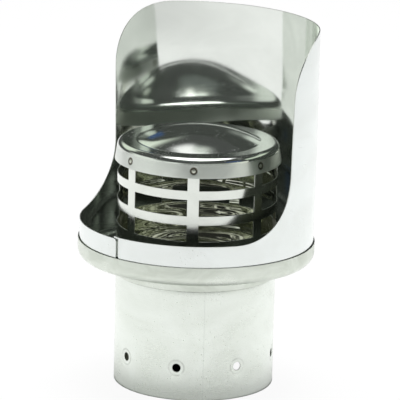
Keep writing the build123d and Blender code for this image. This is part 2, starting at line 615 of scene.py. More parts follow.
@cache
def round_marks() -> bpy.types.NodeTree:
    """Distance to the nearest of a row of marks round the axis, and to their upright centre lines.

    Returns:
        The group, which puts out Distance and Aside.
    """
    wanted = {"Position": "Vector"} | dict.fromkeys(("Pitch", "First", "Radius", "Level"), "Float")
    shader, given = new_group("round_marks", wanted, ["Distance", "Aside"])
    row = given.outputs
    turn = shader.around(row["Position"], row["First"], row["Pitch"])
    aside = shader.math("MULTIPLY", turn, row["Radius"])
    above = shader.math("SUBTRACT", shader.level(row["Position"]), row["Level"])
    square = shader.math("ADD", shader.math("POWER", aside, 2.0), shader.math("POWER", above, 2.0))
    outputs = {"Distance": shader.math("SQRT", square), "Aside": shader.math("ABSOLUTE", aside)}
    shader.add("NodeGroupOutput", outputs)
    return shader.tree


@dataclass(frozen=True)
class SteelFinish:
    """Surface of stainless sheet.

    Attributes:
        name: Name of the material.
        colour: Colour of the clean metal.
        cloud_colour: Colour where it is handled or dull.
        roughness: Roughness of the clean metal.
        cloud_roughness: Roughness added in the clouds.
        cloud_size: Size of the larger clouds.
        line_stretch: Noise scales of the fine lines per metre along X, Y and outwards or up.
        line_roughness: Roughness that the lines add.
        line_height: Height of the lines.
        scratches: Share of the full scratch pattern.
        scratch_roughness: Roughness that a scratch adds.
        swell_height: Height of the sheet's slow waves.
        swell_length: Length of those waves round the sheet.
        swell_flatness: How many times longer they are round the sheet than up it.
        dust: Share of the full pattern of dust and pits.
        dust_roughness: Roughness that a speck adds.
        dust_matt: How much less metallic a speck is.
        deep_glow: Light left in a mirror image of a mirror image, past the last one that is followed,
            painted as a glow in the sheet's colour.
    """

    name: str
    colour: Colour
    cloud_colour: Colour
    roughness: float
    cloud_roughness: float = 0.05
    cloud_size: float = 30 * MM
    line_stretch: tuple[float, float, float] = (60.0, 60.0, 3200.0)
    line_roughness: float = 0.06
    line_height: float = 0.0
    scratches: float = 0.4
    scratch_roughness: float = 0.25
    swell_height: float = 0.0
    swell_length: float = 25 * MM
    swell_flatness: float = 1.0
    dust: float = 0.0
    dust_roughness: float = 0.5
    dust_matt: float = 0.6
    deep_glow: float = 0.0

    @cache
    def material(self) -> bpy.types.Material:
        """Builds the material once.

        Returns:
            A metal with clouds, lines, scratches, dust and waves.
        """
        material = bpy.data.materials.new(self.name)
        material.use_nodes = True
        shader = Shader(material.node_tree)
        position = shader.add("TexCoord").outputs["Object"]
        cloud = shader.group(mottling(), {"Position": position, "Patch": self.cloud_size})[0]
        lines = shader.group(fine_lines(), {"Position": position, "Stretch": self.line_stretch})[0]
        scratch = shader.group(handling_scratches(), {"Position": position, "Amount": self.scratches})[0]
        colour = self.marked(shader, position, shader.mix(cloud, self.colour, self.cloud_colour))
        roughness: Socket | float = self.roughness
        shares = (self.cloud_roughness, self.line_roughness, self.scratch_roughness)
        for pattern, share in zip((cloud, lines, scratch), shares):
            roughness = shader.math("MULTIPLY_ADD", pattern, share, roughness)
        roughness = self.dulled(shader, position, roughness)
        metallic: Socket | float = 1.0
        if self.dust:
            dust = shader.group(dust_specks(), {"Position": position, "Amount": self.dust})[0]
            roughness = shader.math("MULTIPLY_ADD", dust, self.dust_roughness, roughness)
            metallic = shader.math("MULTIPLY_ADD", dust, -self.dust_matt, 1.0)
        inputs = {"Base Color": colour, "Roughness": roughness, "Metallic": metallic}
        if self.line_height or self.swell_height:
            inputs["Normal"] = self.relief(shader, position, lines)
        # Painted reflection: past the fourth mirror the sheet glows in its own colour, in place of
        # further reflections.
        if self.deep_glow:
            mirrors = shader.add("LightPath").outputs["Glossy Depth"]
            deep = shader.math("GREATER_THAN", mirrors, PAST_THREE_MIRRORS)
            glow = shader.math("MULTIPLY", deep, self.glow(shader, position))
            inputs["Emission Color"] = shader.mix(glow, BLACK, self.colour)
            inputs["Emission Strength"] = 1.0
        steel = shader.add("BsdfPrincipled", inputs)
        shader.add("OutputMaterial", {"Surface": steel.outputs[0]})
        return material

    def relief(self, shader: Shader, position: Socket, lines: Socket) -> Socket:
        """Normal of the sheet with its fine lines and slow waves.

        Args:
            shader: Shorthand for the material's nodes.
            position: Place on the surface.
            lines: Pattern of the fine lines.

        Returns:
            The normal.
        """
        waves = {"Position": position, "Length": self.swell_length, "Flatness": self.swell_flatness}
        swell = shader.group(sheet_swell(), waves)[0]
        height = shader.math("MULTIPLY", lines, self.line_height)
        height = shader.math("MULTIPLY_ADD", swell, self.swell_height, height)
        bump = shader.add("Bump", {"Strength": 1.0, "Distance": 1.0, "Height": height})
        return bump.outputs[0]

    def glow(self, shader: Shader, position: Socket) -> Socket | float:
        """Light left past the last mirror image, the same all over plain sheet."""
        return self.deep_glow

    def marked(self, shader: Shader, position: Socket, colour: Socket) -> Socket:
        """Colour with the piece's own marks, of which plain sheet has none."""
        return colour

    def dulled(self, shader: Shader, position: Socket, roughness: Socket) -> Socket:
        """Roughness with the piece's own dull parts, of which plain sheet has none."""
        return roughness


@dataclass(frozen=True)
class SpotWeldedFinish(SteelFinish):
    """Bright sheet with a dark ring at each spot weld, heat tint and painted shade of the electrode's
    groove, and a satin skirt.
    """

    welds: MarkRow | None = None
    heat_and_shade_radius: float = 1.9 * MM
    core_radius: float = 0.95 * MM
    blur: float = 0.35 * MM
    heat_and_shade_colour: Colour = (0.12, 0.11, 0.085)
    core_colour: Colour = (0.62, 0.64, 0.56)
    dull_below: float = 0.0
    dull_roughness: float = 0.2

    def marked(self, shader: Shader, position: Socket, colour: Socket) -> Socket:
        """Colour with the welds' dark rings of heat tint and painted groove shade, and their bright
        cores.

        Args:
            shader: Shorthand for the material's nodes.
            position: Place on the surface.
            colour: Colour of the plain sheet.

        Returns:
            The marked colour.
        """
        distance = shader.group(round_marks(), self.welds.spacing(position))["Distance"]
        # Dark ring at each weld: heat tint and painted shade of the electrode's groove.
        ring = shader.step(distance, self.heat_and_shade_radius + self.blur, self.heat_and_shade_radius - self.blur)
        core = shader.step(distance, self.core_radius + self.blur / 2, self.core_radius - self.blur / 2)
        return shader.mix(core, shader.mix(ring, colour, self.heat_and_shade_colour), self.core_colour)

    def dulled(self, shader: Shader, position: Socket, roughness: Socket) -> Socket:
        """Roughness with the satin skirt below the pressed edge.

        Args:
            shader: Shorthand for the material's nodes.
            position: Place on the surface.
            roughness: Roughness of the bright sheet.

        Returns:
            The changed roughness.
        """
        upper, lower = self.dull_below + self.blur, self.dull_below - self.blur
        skirt = shader.step(shader.level(position), upper, lower)
        return shader.math("MULTIPLY_ADD", skirt, self.dull_roughness, roughness)


@dataclass(frozen=True)
class SeamWeldedFinish(SteelFinish):
    """Sheet with an upright weld seam, painted shade rings at its dimples' edges, and dirt and painted
    shade under the piece above.
    """

    holes: MarkRow | None = None
    dimple_shade_radius: float = 3.9 * MM
    dimple_shade_width: float = 0.75 * MM
    dimple_shade_patch: float = 6 * MM
    dimple_shade_colour: Colour = (0.56, 0.59, 0.54)
    seam_angle: float = 0.0
    dirt_and_shade_level: float = 0.0
    seam_width: float = 0.35 * MM
    dirt_and_shade_width: float = 0.5 * MM
    seam_colour: Colour = (0.7, 0.74, 0.69)
    dirt_and_shade_colour: Colour = (0.3, 0.31, 0.28)

    def marked(self, shader: Shader, position: Socket, colour: Socket) -> Socket:
        """Colour with the painted shade rings at the dimples, the seam's dull line, and the dirt and
        painted shade under the collar.

        Args:
            shader: Shorthand for the material's nodes.
            position: Place on the surface.
            colour: Colour of the plain sheet.

        Returns:
            The marked colour.
        """
        distance = shader.group(round_marks(), self.holes.spacing(position))["Distance"]
        # Painted shade: a darker, broken ring round each hole where the dimple's edge shows.
        off_ring = shader.math("ABSOLUTE", shader.math("SUBTRACT", distance, self.dimple_shade_radius))
        broken_up = shader.group(mottling(), {"Position": position, "Patch": self.dimple_shade_patch})[0]
        ring = shader.math("MULTIPLY", shader.step(off_ring, self.dimple_shade_width, 0.0), broken_up)
        colour = shader.mix(ring, colour, self.dimple_shade_colour)
        seam = self.holes.spacing(position) | {"Pitch": TURN, "First": self.seam_angle}
        aside = shader.group(round_marks(), seam)["Aside"]
        colour = shader.mix(shader.step(aside, self.seam_width, 0.0), colour, self.seam_colour)
        # Dark band just under the collar's edge: dirt and painted shade where the collar meets the tube.
        dirt_and_shade = shader.step(shader.level(position), self.dirt_and_shade_level - self.dirt_and_shade_width, self.dirt_and_shade_level)
        return shader.mix(dirt_and_shade, colour, self.dirt_and_shade_colour)


@dataclass(frozen=True)
class HoodMirrorFinish(SteelFinish):
    """Mirror-bright sheet whose painted glow past the last followed mirror is brighter in its upper
    part, which only mirrors the pale surroundings.
    """

    open_level: Span = (0.0, 0.0)
    open_glow: float = 0.8

    def glow(self, shader: Shader, position: Socket) -> Socket:
        """Painted light past the last mirror image, brighter above the cap's images.

        Args:
            shader: Shorthand for the material's nodes.
            position: Place on the surface.

        Returns:
            The light's share.
        """
        above = shader.step(shader.level(position), *self.open_level)
        more = self.open_glow - self.deep_glow
        return shader.math("MULTIPLY_ADD", above, more, self.deep_glow)


EDGE_STEEL = SteelFinish("cut_edge_steel", (0.66, 0.69, 0.64), (0.5, 0.52, 0.48), 0.3)
TUBE_BORE_STEEL = SteelFinish(
    "tube_bore_steel",
    (0.74, 0.76, 0.68),
    (0.62, 0.64, 0.55),
    0.02,
    cloud_roughness=0.02,
    line_roughness=0.015,
    scratches=0.2,
    swell_height=2.4 * MM,
    swell_length=50 * MM,
    swell_flatness=7.0,
    deep_glow=0.06,
)
# Darker copy of the steel for the insides of the pan and cap: painted shade.
SHADE_DARKENED_STEEL = SteelFinish("shade_darkened_inner_steel", (0.4, 0.42, 0.39), (0.28, 0.3, 0.27), 0.22)


class SheetPiece(ABC):
    """Piece of formed sheet that stands for one solid of the frame.

    Attributes:
        node: Solid that the piece stands for.
        name: Name of the piece.
    """

    node: ClassVar[Node]
    name: ClassVar[str]

    @abstractmethod
    def skin(self) -> Skin:
        """Builds the outer side of the sheet."""

    @abstractmethod
    def finishes(self) -> tuple[SteelFinish, SteelFinish]:
        """Finishes of the outside and the inside."""

    def dress(self, piece: bpy.types.Object) -> None:
        """Gives the outside, the inside and the cut edges their finishes."""
        for finish in (*self.finishes(), EDGE_STEEL):
            piece.data.materials.append(finish.material())

    def build(self) -> None:
        """Builds and dresses the piece, hides its solid and hangs the piece on the root body."""
        piece = self.skin().piece(self.name)
        self.dress(piece)
        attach(piece, "root")
        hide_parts(self.node.value)
        LOG.info("%s stands for %s with %d faces", self.name, self.node.value, len(piece.data.polygons))


@dataclass
class Spigot(SheetPiece):
    """Tube that joins the flue, with a reduced upper end and a row of screw holes in punched dimples."""

    node = Node.SPIGOT
    name = "flue_spigot"

    radius: float
    insertion: float
    height: float
    swage_taper: float = 1.2 * MM
    hole_radius: float = 2.1 * MM
    hole_level: float = 16.5 * MM
    first_hole: float = math.radians(30)
    hole_count: int = 8
    hole_rings: tuple[float, ...] = (1.0, 1.12, 1.4, 1.9, 2.5)
    dimple_depth: float = 0.35 * MM
    dimple_reach: float = 6 * MM
    seam_angle: float = math.radians(49.2)

    @classmethod
    def from_frame(cls) -> "Spigot":
        """Takes the tube's size from its solid and the pan's collar."""
        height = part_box(Node.SPIGOT.value)[1][2]
        return cls(solid_radius(Node.SPIGOT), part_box(Node.PAN.value)[0][2], height)

    def dimple(self, around: float, up: float) -> float:
        """Height of the wall, below 0 in a dimple, at an offset from a hole's centre.

        Args:
            around: Offset round the wall.
            up: Offset up it.

        Returns:
            The height.
        """
        punch = self.dimple_reach**2 / (2 * self.dimple_depth)
        fall = up**2 / (2 * punch) + around**2 / 2 * (1 / punch + 1 / self.radius)
        return -max(self.dimple_depth - fall, 0.0)

    def holes(self) -> MarkRow:
        """Places of the screw holes and the mesh that carries them.

        Returns:
            The row of holes.
        """
        return MarkRow(
            self.hole_count,
            self.first_hole,
            self.hole_level,
            self.radius,
            self.dimple_reach + MM,
            tuple(self.hole_radius * ring for ring in self.hole_rings),
            pierced=True,
        )

    def skin(self) -> Skin:
        """Builds the tube's wall with its holes and its reduced end.

        Returns:
            The tube's outside.
        """
        holes = self.holes()
        below, above = 5, 12
        neck = self.radius - SHEET - SLIP_FIT
        path = [(self.radius, level) for level in holes.levels(0.0, self.insertion, below, above)]
        path += [(neck, self.insertion + self.swage_taper), (neck, self.height)]
        skin = Skin()
        skin.turned(path, holes.angles(), holes.leaves(below))
        holes.fill(skin, lambda level: self.radius, self.dimple)
        return skin

    def finishes(self) -> tuple[SteelFinish, SteelFinish]:
        """Satin sheet outside, with its seam and the dirt and painted shade under the collar, and a
        brighter bore.

        Returns:
            The finishes of the outside and the inside.
        """
        outside = SeamWeldedFinish(
            "spigot_steel",
            (0.8, 0.84, 0.79),
            (0.73, 0.77, 0.71),
            0.2,
            cloud_size=45 * MM,
            holes=self.holes(),
            seam_angle=self.seam_angle,
            dirt_and_shade_level=self.insertion,
        )
        return outside, TUBE_BORE_STEEL


@dataclass
class DripPan(SheetPiece):
    """Shallow round pan with a collar down round the spigot."""

    node = Node.PAN
    name = "pressed_pan"

    radius: float
    collar_radius: float
    bottom: float
    rim: float
    depth: float = 10.1 * MM
    collar_bend: float = 1.5 * MM
    corner: float = 5 * MM

    @classmethod
    def from_frame(cls) -> "DripPan":
        """Takes the pan's size from its solid and the spigot's."""
        low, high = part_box(Node.PAN.value)
        return cls(solid_radius(Node.PAN), solid_radius(Node.SPIGOT) + SLIP_FIT + SHEET, low[2], high[2])

    def skin(self) -> Skin:
        """Builds the pan and its collar as one turned wall.

        Returns:
            The pan's underside and rim.
        """
        floor = self.rim - self.depth
        corners = [
            (self.collar_radius, self.bottom),
            (self.collar_radius, floor),
            (self.radius, floor),
            (self.radius, self.rim),
        ]
        path = rounded_path(corners, (self.collar_bend, self.corner))
        skin = Skin()
        skin.turned(path, spread(0.0, TURN, ROUND_STEPS)[:-1])
        return skin

    def finishes(self) -> tuple[SteelFinish, SteelFinish]:
        """Duller, cloudy sheet outside and within a darker copy of the steel as painted shade.

        Returns:
            The finishes of the outside and the inside.
        """
        outside = SteelFinish(
            "pan_steel",
            (0.715, 0.755, 0.69),
            (0.6, 0.64, 0.57),
            0.24,
            cloud_roughness=0.08,
            cloud_size=20 * MM,
            scratches=0.6,
        )
        return outside, SHADE_DARKENED_STEEL


@dataclass
class SlottedCage(SheetPiece):
    """Tube with rows of wide windows between upright bars."""

    node = Node.CAGE
    name = "slotted_tube"

    radius: float
    bottom: float
    top: float
    rows: int = 3
    bars: int = 7
    bar_width: float = 5.8 * MM
    first_bar: float = math.radians(39.2)
    window_height: float = 8.2 * MM
    ring_height: float = 4.6 * MM
    top_band: float = 4.3 * MM

    @classmethod
    def from_frame(cls) -> "SlottedCage":
        """Takes the cage's size from its solid."""
        low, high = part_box(Node.CAGE.value)
        return cls(solid_radius(Node.CAGE), low[2], high[2])

    def skin(self) -> Skin:
        """Builds the wall and leaves its windows open.

        Returns:
            The cage's outside.
        """
        bar_steps, window_steps, base_steps = 3, 14, 5
        half = self.bar_width / self.radius / 2
        angles = spaced(self.bars, self.first_bar, half, bar_steps, window_steps)
        row_pitch = self.window_height + self.ring_height
        lowest = self.top - self.top_band + self.ring_height - self.rows * row_pitch
        levels = spread(self.bottom, lowest, base_steps)
        for row in range(self.rows):
            window_top = lowest + row * row_pitch + self.window_height
            levels += [window_top, window_top + self.ring_height]
        levels[-1] = self.top
        sector = bar_steps + window_steps
        open_rows = range(base_steps, base_steps + 2 * self.rows, 2)
        skin = Skin()
        skin.turned(
            [(self.radius, level) for level in levels],
            angles,
            lambda column, row: column % sector < bar_steps or row not in open_rows,
        )
        return skin

    def finishes(self) -> tuple[SteelFinish, SteelFinish]:
        """Bright sheet outside and the tube's bore within."""
        outside = SteelFinish("cage_steel", (0.8, 0.83, 0.78), (0.72, 0.75, 0.7), 0.12)
        return outside, TUBE_BORE_STEEL


@dataclass
class CageCap(SheetPiece):
    """Pressed cap with a low dome and a flared skirt, spot welded to the cage's bars."""

    node = Node.CAP
    name = "pressed_cap"

    skirt_radius: float
    bottom: float
    top: float
    welds: int
    first_weld: float
    weld_level: float
    skirt_drop: float = 9.7 * MM
    skirt_flare: float = 1.5 * MM
    edge_radius: float = 3 * MM
    dome_radius: float = 31 * MM
    dome_height: float = 7 * MM
    dome_root: float = 2.5 * MM
    dome_steps: int = 28
    weld_radius: float = 1.75 * MM
    weld_core: float = 1.0 * MM
    weld_depth: float = 0.12 * MM
    weld_slope: float = 0.1 * MM
    weld_reach: float = 2.6 * MM

    @classmethod
    def from_frame(cls, cage: SlottedCage) -> "CageCap":
        """Takes the cap's size from its solid and the welds' places from the cage's bars.

        Args:
            cage: Cage that carries the cap.

        Returns:
            The cap.
        """
        low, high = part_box(Node.CAP.value)
        weld_level = cage.top - cage.top_band / 2
        return cls(solid_radius(Node.CAP), low[2], high[2], cage.bars, cage.first_bar, weld_level)

    def wall(self, level: float) -> float:
        """Radius of the skirt at a level."""
        return self.skirt_radius - self.skirt_flare * (level - self.bottom) / self.skirt_drop

    def weld(self, around: float, up: float) -> float:
        """Height of the wall, below 0 in the electrode's ring, at an offset from a weld's centre.

        Args:
            around: Offset round the wall.
            up: Offset up it.

        Returns:
            The height.
        """
        distance = math.hypot(around, up)
        inner = ease((distance - self.weld_core + self.weld_slope) / (2 * self.weld_slope))
        outer = ease((self.weld_radius + self.weld_slope - distance) / (2 * self.weld_slope))
        return -self.weld_depth * inner * outer

    def marks(self) -> MarkRow:
        """Places of the spot welds and the mesh that carries them.

        Returns:
            The row of welds.
        """
        rings = []
        for edge in (self.weld_core, self.weld_radius):
            rings += [edge - self.weld_slope, edge + self.weld_slope]
        return MarkRow(
            self.welds,
            self.first_weld,
            self.weld_level,
            self.wall(self.weld_level),
            self.weld_reach,
            tuple(rings),
            pierced=False,
        )

    def dome(self) -> list[Point]:
        """Section of the dome.

        Returns:
            Radius and level of its points, from the flat over its soft root to the middle.
        """
        root = self.dome_root
        ball = (self.dome_radius**2 + self.dome_height**2) / (2 * self.dome_height)
        centre = self.top - ball
        root_level = self.top - self.dome_height + root
        foot = math.acos((root_level - centre) / (ball + root))
        root_radius = (ball + root) * math.sin(foot)
        section = []
        for turn in spread(0.0, foot, BEND_STEPS):
            section.append((root_radius - root * math.sin(turn), root_level - root * math.cos(turn)))
        for turn in spread(foot, 0.0, self.dome_steps)[1:]:
            section.append((ball * math.sin(turn), centre + ball * math.cos(turn)))
        return section

    def skin(self) -> Skin:
        """Builds the skirt with its welds, the rounded edge, the flat and the dome.

        Returns:
            The cap's outside.
        """
        marks = self.marks()
        flat = self.top - self.dome_height
        corners = [(self.skirt_radius, self.bottom), (self.wall(flat), flat), self.dome()[0]]
        path = rounded_path(corners, (self.edge_radius,))
        below, above = 1, 1
        levels = marks.levels(self.bottom, path[1][1], below, above)
        skirt = [(self.wall(level), level) for level in levels]
        skin = Skin()
        skin.turned(skirt + path[2:] + self.dome()[1:], marks.angles(), marks.leaves(below))
        marks.fill(skin, self.wall, self.weld)
        return skin

    def finishes(self) -> tuple[SteelFinish, SteelFinish]:
        """Mirror bright sheet outside, with its welds' heat tint and painted groove shade, and within a
        darker copy of the steel as painted shade.

        Returns:
            The finishes of the outside and the inside.
        """
        outside = SpotWeldedFinish(
            "cap_steel",
            (0.79, 0.82, 0.78),
            (0.7, 0.73, 0.69),
            0.06,
            line_roughness=0.05,
            line_height=0.0006 * MM,
            scratches=0.8,
            dust=0.5,
            welds=self.marks(),
            dull_below=self.top - self.dome_height - self.edge_radius,
        )
        return outside, SHADE_DARKENED_STEEL


@dataclass(frozen=True)
class HoodColumn:
    """One upright line of the hood's mesh.

    Attributes:
        angle: Angle round the axis.
        top: Level of the sheet's upper edge there.
        split: Level at which the mesh of the back wall begins.
        inset: Depth of the line behind the hood's radius.
    """

    angle: float
    top: float
    split: float
    inset: float = 0.0


@dataclass(frozen=True)
class Swell:
    """Shallow unevenness that rolling left in the hood's wall.

    Attributes:
        angle: Angle of its middle round the axis, in degrees.
        level: Height of its middle.
        height: How far the sheet stands out there, below 0 for inwards.
        arc: Angle from its middle to its flank, in degrees.
        rise: Height from its middle to its flank.
    """

    angle: float
    level: float
    height: float
    arc: float = 24.0
    rise: float = 12 * MM

    def at(self, angle: float, level: float) -> float:
        """Height of the swell at a place of the wall.

        Args:
            angle: Angle round the axis.
            level: Height above the floor.

        Returns:
            How far the sheet stands out there.
        """
        around = (math.degrees(angle) - self.angle) / self.arc
        up = (level - self.level) / self.rise
        return self.height * math.exp(-(around**2 + up**2) / 2)


@dataclass
class WindHood(SheetPiece):
    """Rolled sheet, open in front above a low lip, with its ends lapped in the middle of the lip."""

    node = Node.HOOD
    name = "rolled_hood"

    radius: float
    bottom: float
    top: float
    lip: float
    widening: float = 2.4 * MM
    flattening: float = 3.2 * MM
    seam_step: float = 0.8 * MM
    seam_lap: float = 2.0 * MM
    seam_gap: float = 0.2 * MM
    seam_joggle: float = 1.8 * MM
    seam_corner: float = 1.5 * MM
    setback: float = 2.4 * MM
    mouth_corner: float = 30 * MM
    crown_corner: float = 30 * MM
    swells: tuple[Swell, ...] = (
        Swell(183.9, 135.6 * MM, -0.68 * MM),
        Swell(224.7, 123.7 * MM, 0.43 * MM),
        Swell(230.9, 160.7 * MM, -0.6 * MM),
        Swell(188.0, 113.0 * MM, 0.5 * MM, 20.0, 6 * MM),
    )
    first_plain: float = math.radians(3)
    low_rows: int = 20
    high_rows: int = 26
    lip_steps: int = 18
    corner_steps: int = 16
    back_steps: int = 18
    lap_steps: int = 3
    joggle_steps: int = 6
    end_steps: int = 5

    @classmethod
    def from_frame(cls, pan: DripPan, lip_rise: float = 9.7 * MM) -> "WindHood":
        """Takes the hood's levels from its solid, and its radius and lip from the pan that holds it."""
        low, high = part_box(Node.HOOD.value)
        return cls(pan.radius - SHEET - RIM_FIT, low[2], high[2] - TOP_FIT, pan.rim + lip_rise)

    def opened(self, level: float) -> float:
        """Share of the spring-open that is reached at a level, 0 at the seam and 1 at the top."""
        seam_top = self.lip + self.seam_step
        return max(level - seam_top, 0.0) / (self.top - seam_top)

    def half_depth(self, level: float) -> float:
        """Half the hood's depth at a level, which falls as the sheet springs open."""
        return self.radius - self.flattening * self.opened(level) ** 2

    def behind(self, depth: float, level: float) -> float:
        """Angle at which the sheet lies a depth behind the axis at a level."""
        return math.acos(-depth / self.half_depth(level))

    def place(self, column: HoodColumn, level: float) -> Vector:
        """Place on the sheet's outside at a column and level.

        Args:
            column: Upright line of the mesh.
            level: Height above the floor.

        Returns:
            The place.
        """
        inset = column.inset - sum(swell.at(column.angle, level) for swell in self.swells)
        half_width = self.radius + self.widening * self.opened(level) - inset
        half_depth = self.half_depth(level) - inset
        return Vector((half_width * math.sin(column.angle), -half_depth * math.cos(column.angle), level))

    def side(self, lip: float) -> list[HoodColumn]:
        """Columns of one side, from the lip's first plain column to the back.

        Args:
            lip: Level of that side's lip.

        Returns:
            The columns with angles that grow from the front.
        """
        mouth, crown = self.mouth_corner, self.crown_corner
        split = lip + mouth
        middle = self.lip + self.seam_step / 2 + mouth
        quarter = spread(0.0, math.pi / 2, self.corner_steps)
        lip_end = math.acos((mouth - self.setback) / self.radius)
        columns = []
        for angle in spread(self.first_plain, lip_end, self.lip_steps):
            columns.append(HoodColumn(angle, lip, lip))
        for turn in quarter[1:-1]:
            depth = self.setback - mouth + mouth * math.sin(turn)
            level = split - mouth * math.cos(turn)
            columns.append(HoodColumn(self.behind(depth, level), level, level))
        tall = []
        for turn in quarter:
            depth = self.setback + crown - crown * math.cos(turn)
            level = self.top - crown + crown * math.sin(turn)
            tall.append((self.behind(depth, level), level))
        tall += [(angle, self.top) for angle in spread(tall[-1][0], math.pi, self.back_steps)[1:]]
        for angle, level in tall:
            share = ease((angle - tall[0][0]) / (math.pi - tall[0][0]))
            columns.append(HoodColumn(angle, level, split + (middle - split) * share))
        return columns

    def columns(self) -> list[HoodColumn]:
        """Columns of the whole sheet.

        Returns:
            The columns in order round the axis, from the right end's lap to the left end.
        """
        right_lip = self.lip + self.seam_step
        lap = SHEET + SLIP_FIT
        right = []
        for place in spread(-self.seam_lap, self.seam_gap, self.lap_steps):
            right.append(HoodColumn(place / self.radius, right_lip, right_lip, lap))
        for share in spread(0.0, 1.0, self.joggle_steps)[1:]:
            place = self.seam_gap + share * self.seam_joggle
            right.append(HoodColumn(place / self.radius, right_lip, right_lip, lap * (1 - ease(share))))
        right += self.side(right_lip)
        corner = self.seam_corner
        left = []
        for turn in spread(0.0, math.pi / 2, self.end_steps):
            place = corner * (1 - math.cos(turn))
            level = self.lip - corner + corner * math.sin(turn)
            left.append(HoodColumn(place / self.radius, level, level))
        left += self.side(self.lip)
        mirrored = [HoodColumn(TURN - entry.angle, entry.top, entry.split) for entry in reversed(left)]
        return right + mirrored[1:]

    def skin(self) -> Skin:
        """Builds the low wall all round and the tall wall behind the mouth.

        Returns:
            The hood's outside.
        """
        skin = Skin()
        columns = self.columns()
        tall = [entry for entry in columns if entry.top > entry.split + MM]
        low_wall = [(entry, spread(self.bottom, entry.split, self.low_rows)) for entry in columns]
        high_wall = [(entry, spread(entry.split, entry.top, self.high_rows)) for entry in tall]
        for wall in (low_wall, high_wall):
            skin.grid([[self.place(entry, level) for level in levels] for entry, levels in wall])
        return skin

    def finishes(self) -> tuple[SteelFinish, SteelFinish]:
        """Bright sheet outside and a mirror within.

        Returns:
            The finishes of the outside and the inside.
        """
        outside = SteelFinish("hood_outer_steel", (0.81, 0.845, 0.83), (0.78, 0.81, 0.79), 0.16)
        inside = HoodMirrorFinish(
            "hood_inner_steel",
            (0.815, 0.845, 0.805),
            (0.77, 0.8, 0.76),
            0.045,
            cloud_roughness=0.03,
            line_roughness=0.03,
            swell_height=0.02 * MM,
            deep_glow=0.06,
            open_level=(self.top - 40 * MM, self.top - 25 * MM),
        )
        return outside, inside


@dataclass(frozen=True)
class SkyPanel:
    """Soft bright or dark patch of the room, far from the object, with its angles in degrees.

    Attributes:
        aside: Direction counted from the camera's, to its right.
        elevation: Height above the floor's horizon.
        half_width: Half its width round the room.
        half_height: Half its height.
        side_blur: Softness of its sides.
        top_blur: Softness of its upper and lower edge.
        colour: Its colour and strength.
        mirrored: Reflections in which it shows.
    """

    aside: float
    elevation: float
    half_width: float
    half_height: float
    side_blur: float
    top_blur: float
    colour: Colour
    mirrored: Mirrored = Mirrored.ALWAYS

    def mask(self, shader: Shader, direction: Socket, camera_azimuth: float) -> Socket:
        """Share of the panel in the light from a direction.

        Args:
            shader: Shorthand for the world's nodes.
            direction: Direction in the room.
            camera_azimuth: Azimuth of the camera, from which the panel's is counted.

        Returns:
            The panel's mask.
        """
        place = (self.aside, self.elevation)
        size = (self.half_width, self.half_height, self.side_blur, self.top_blur)
        inputs = dict(zip(PANEL_ANGLES, map(math.radians, place + size)))
        inputs["Azimuth"] += camera_azimuth
        return shader.group(soft_panel(), {"Direction": direction} | inputs)["Mask"]


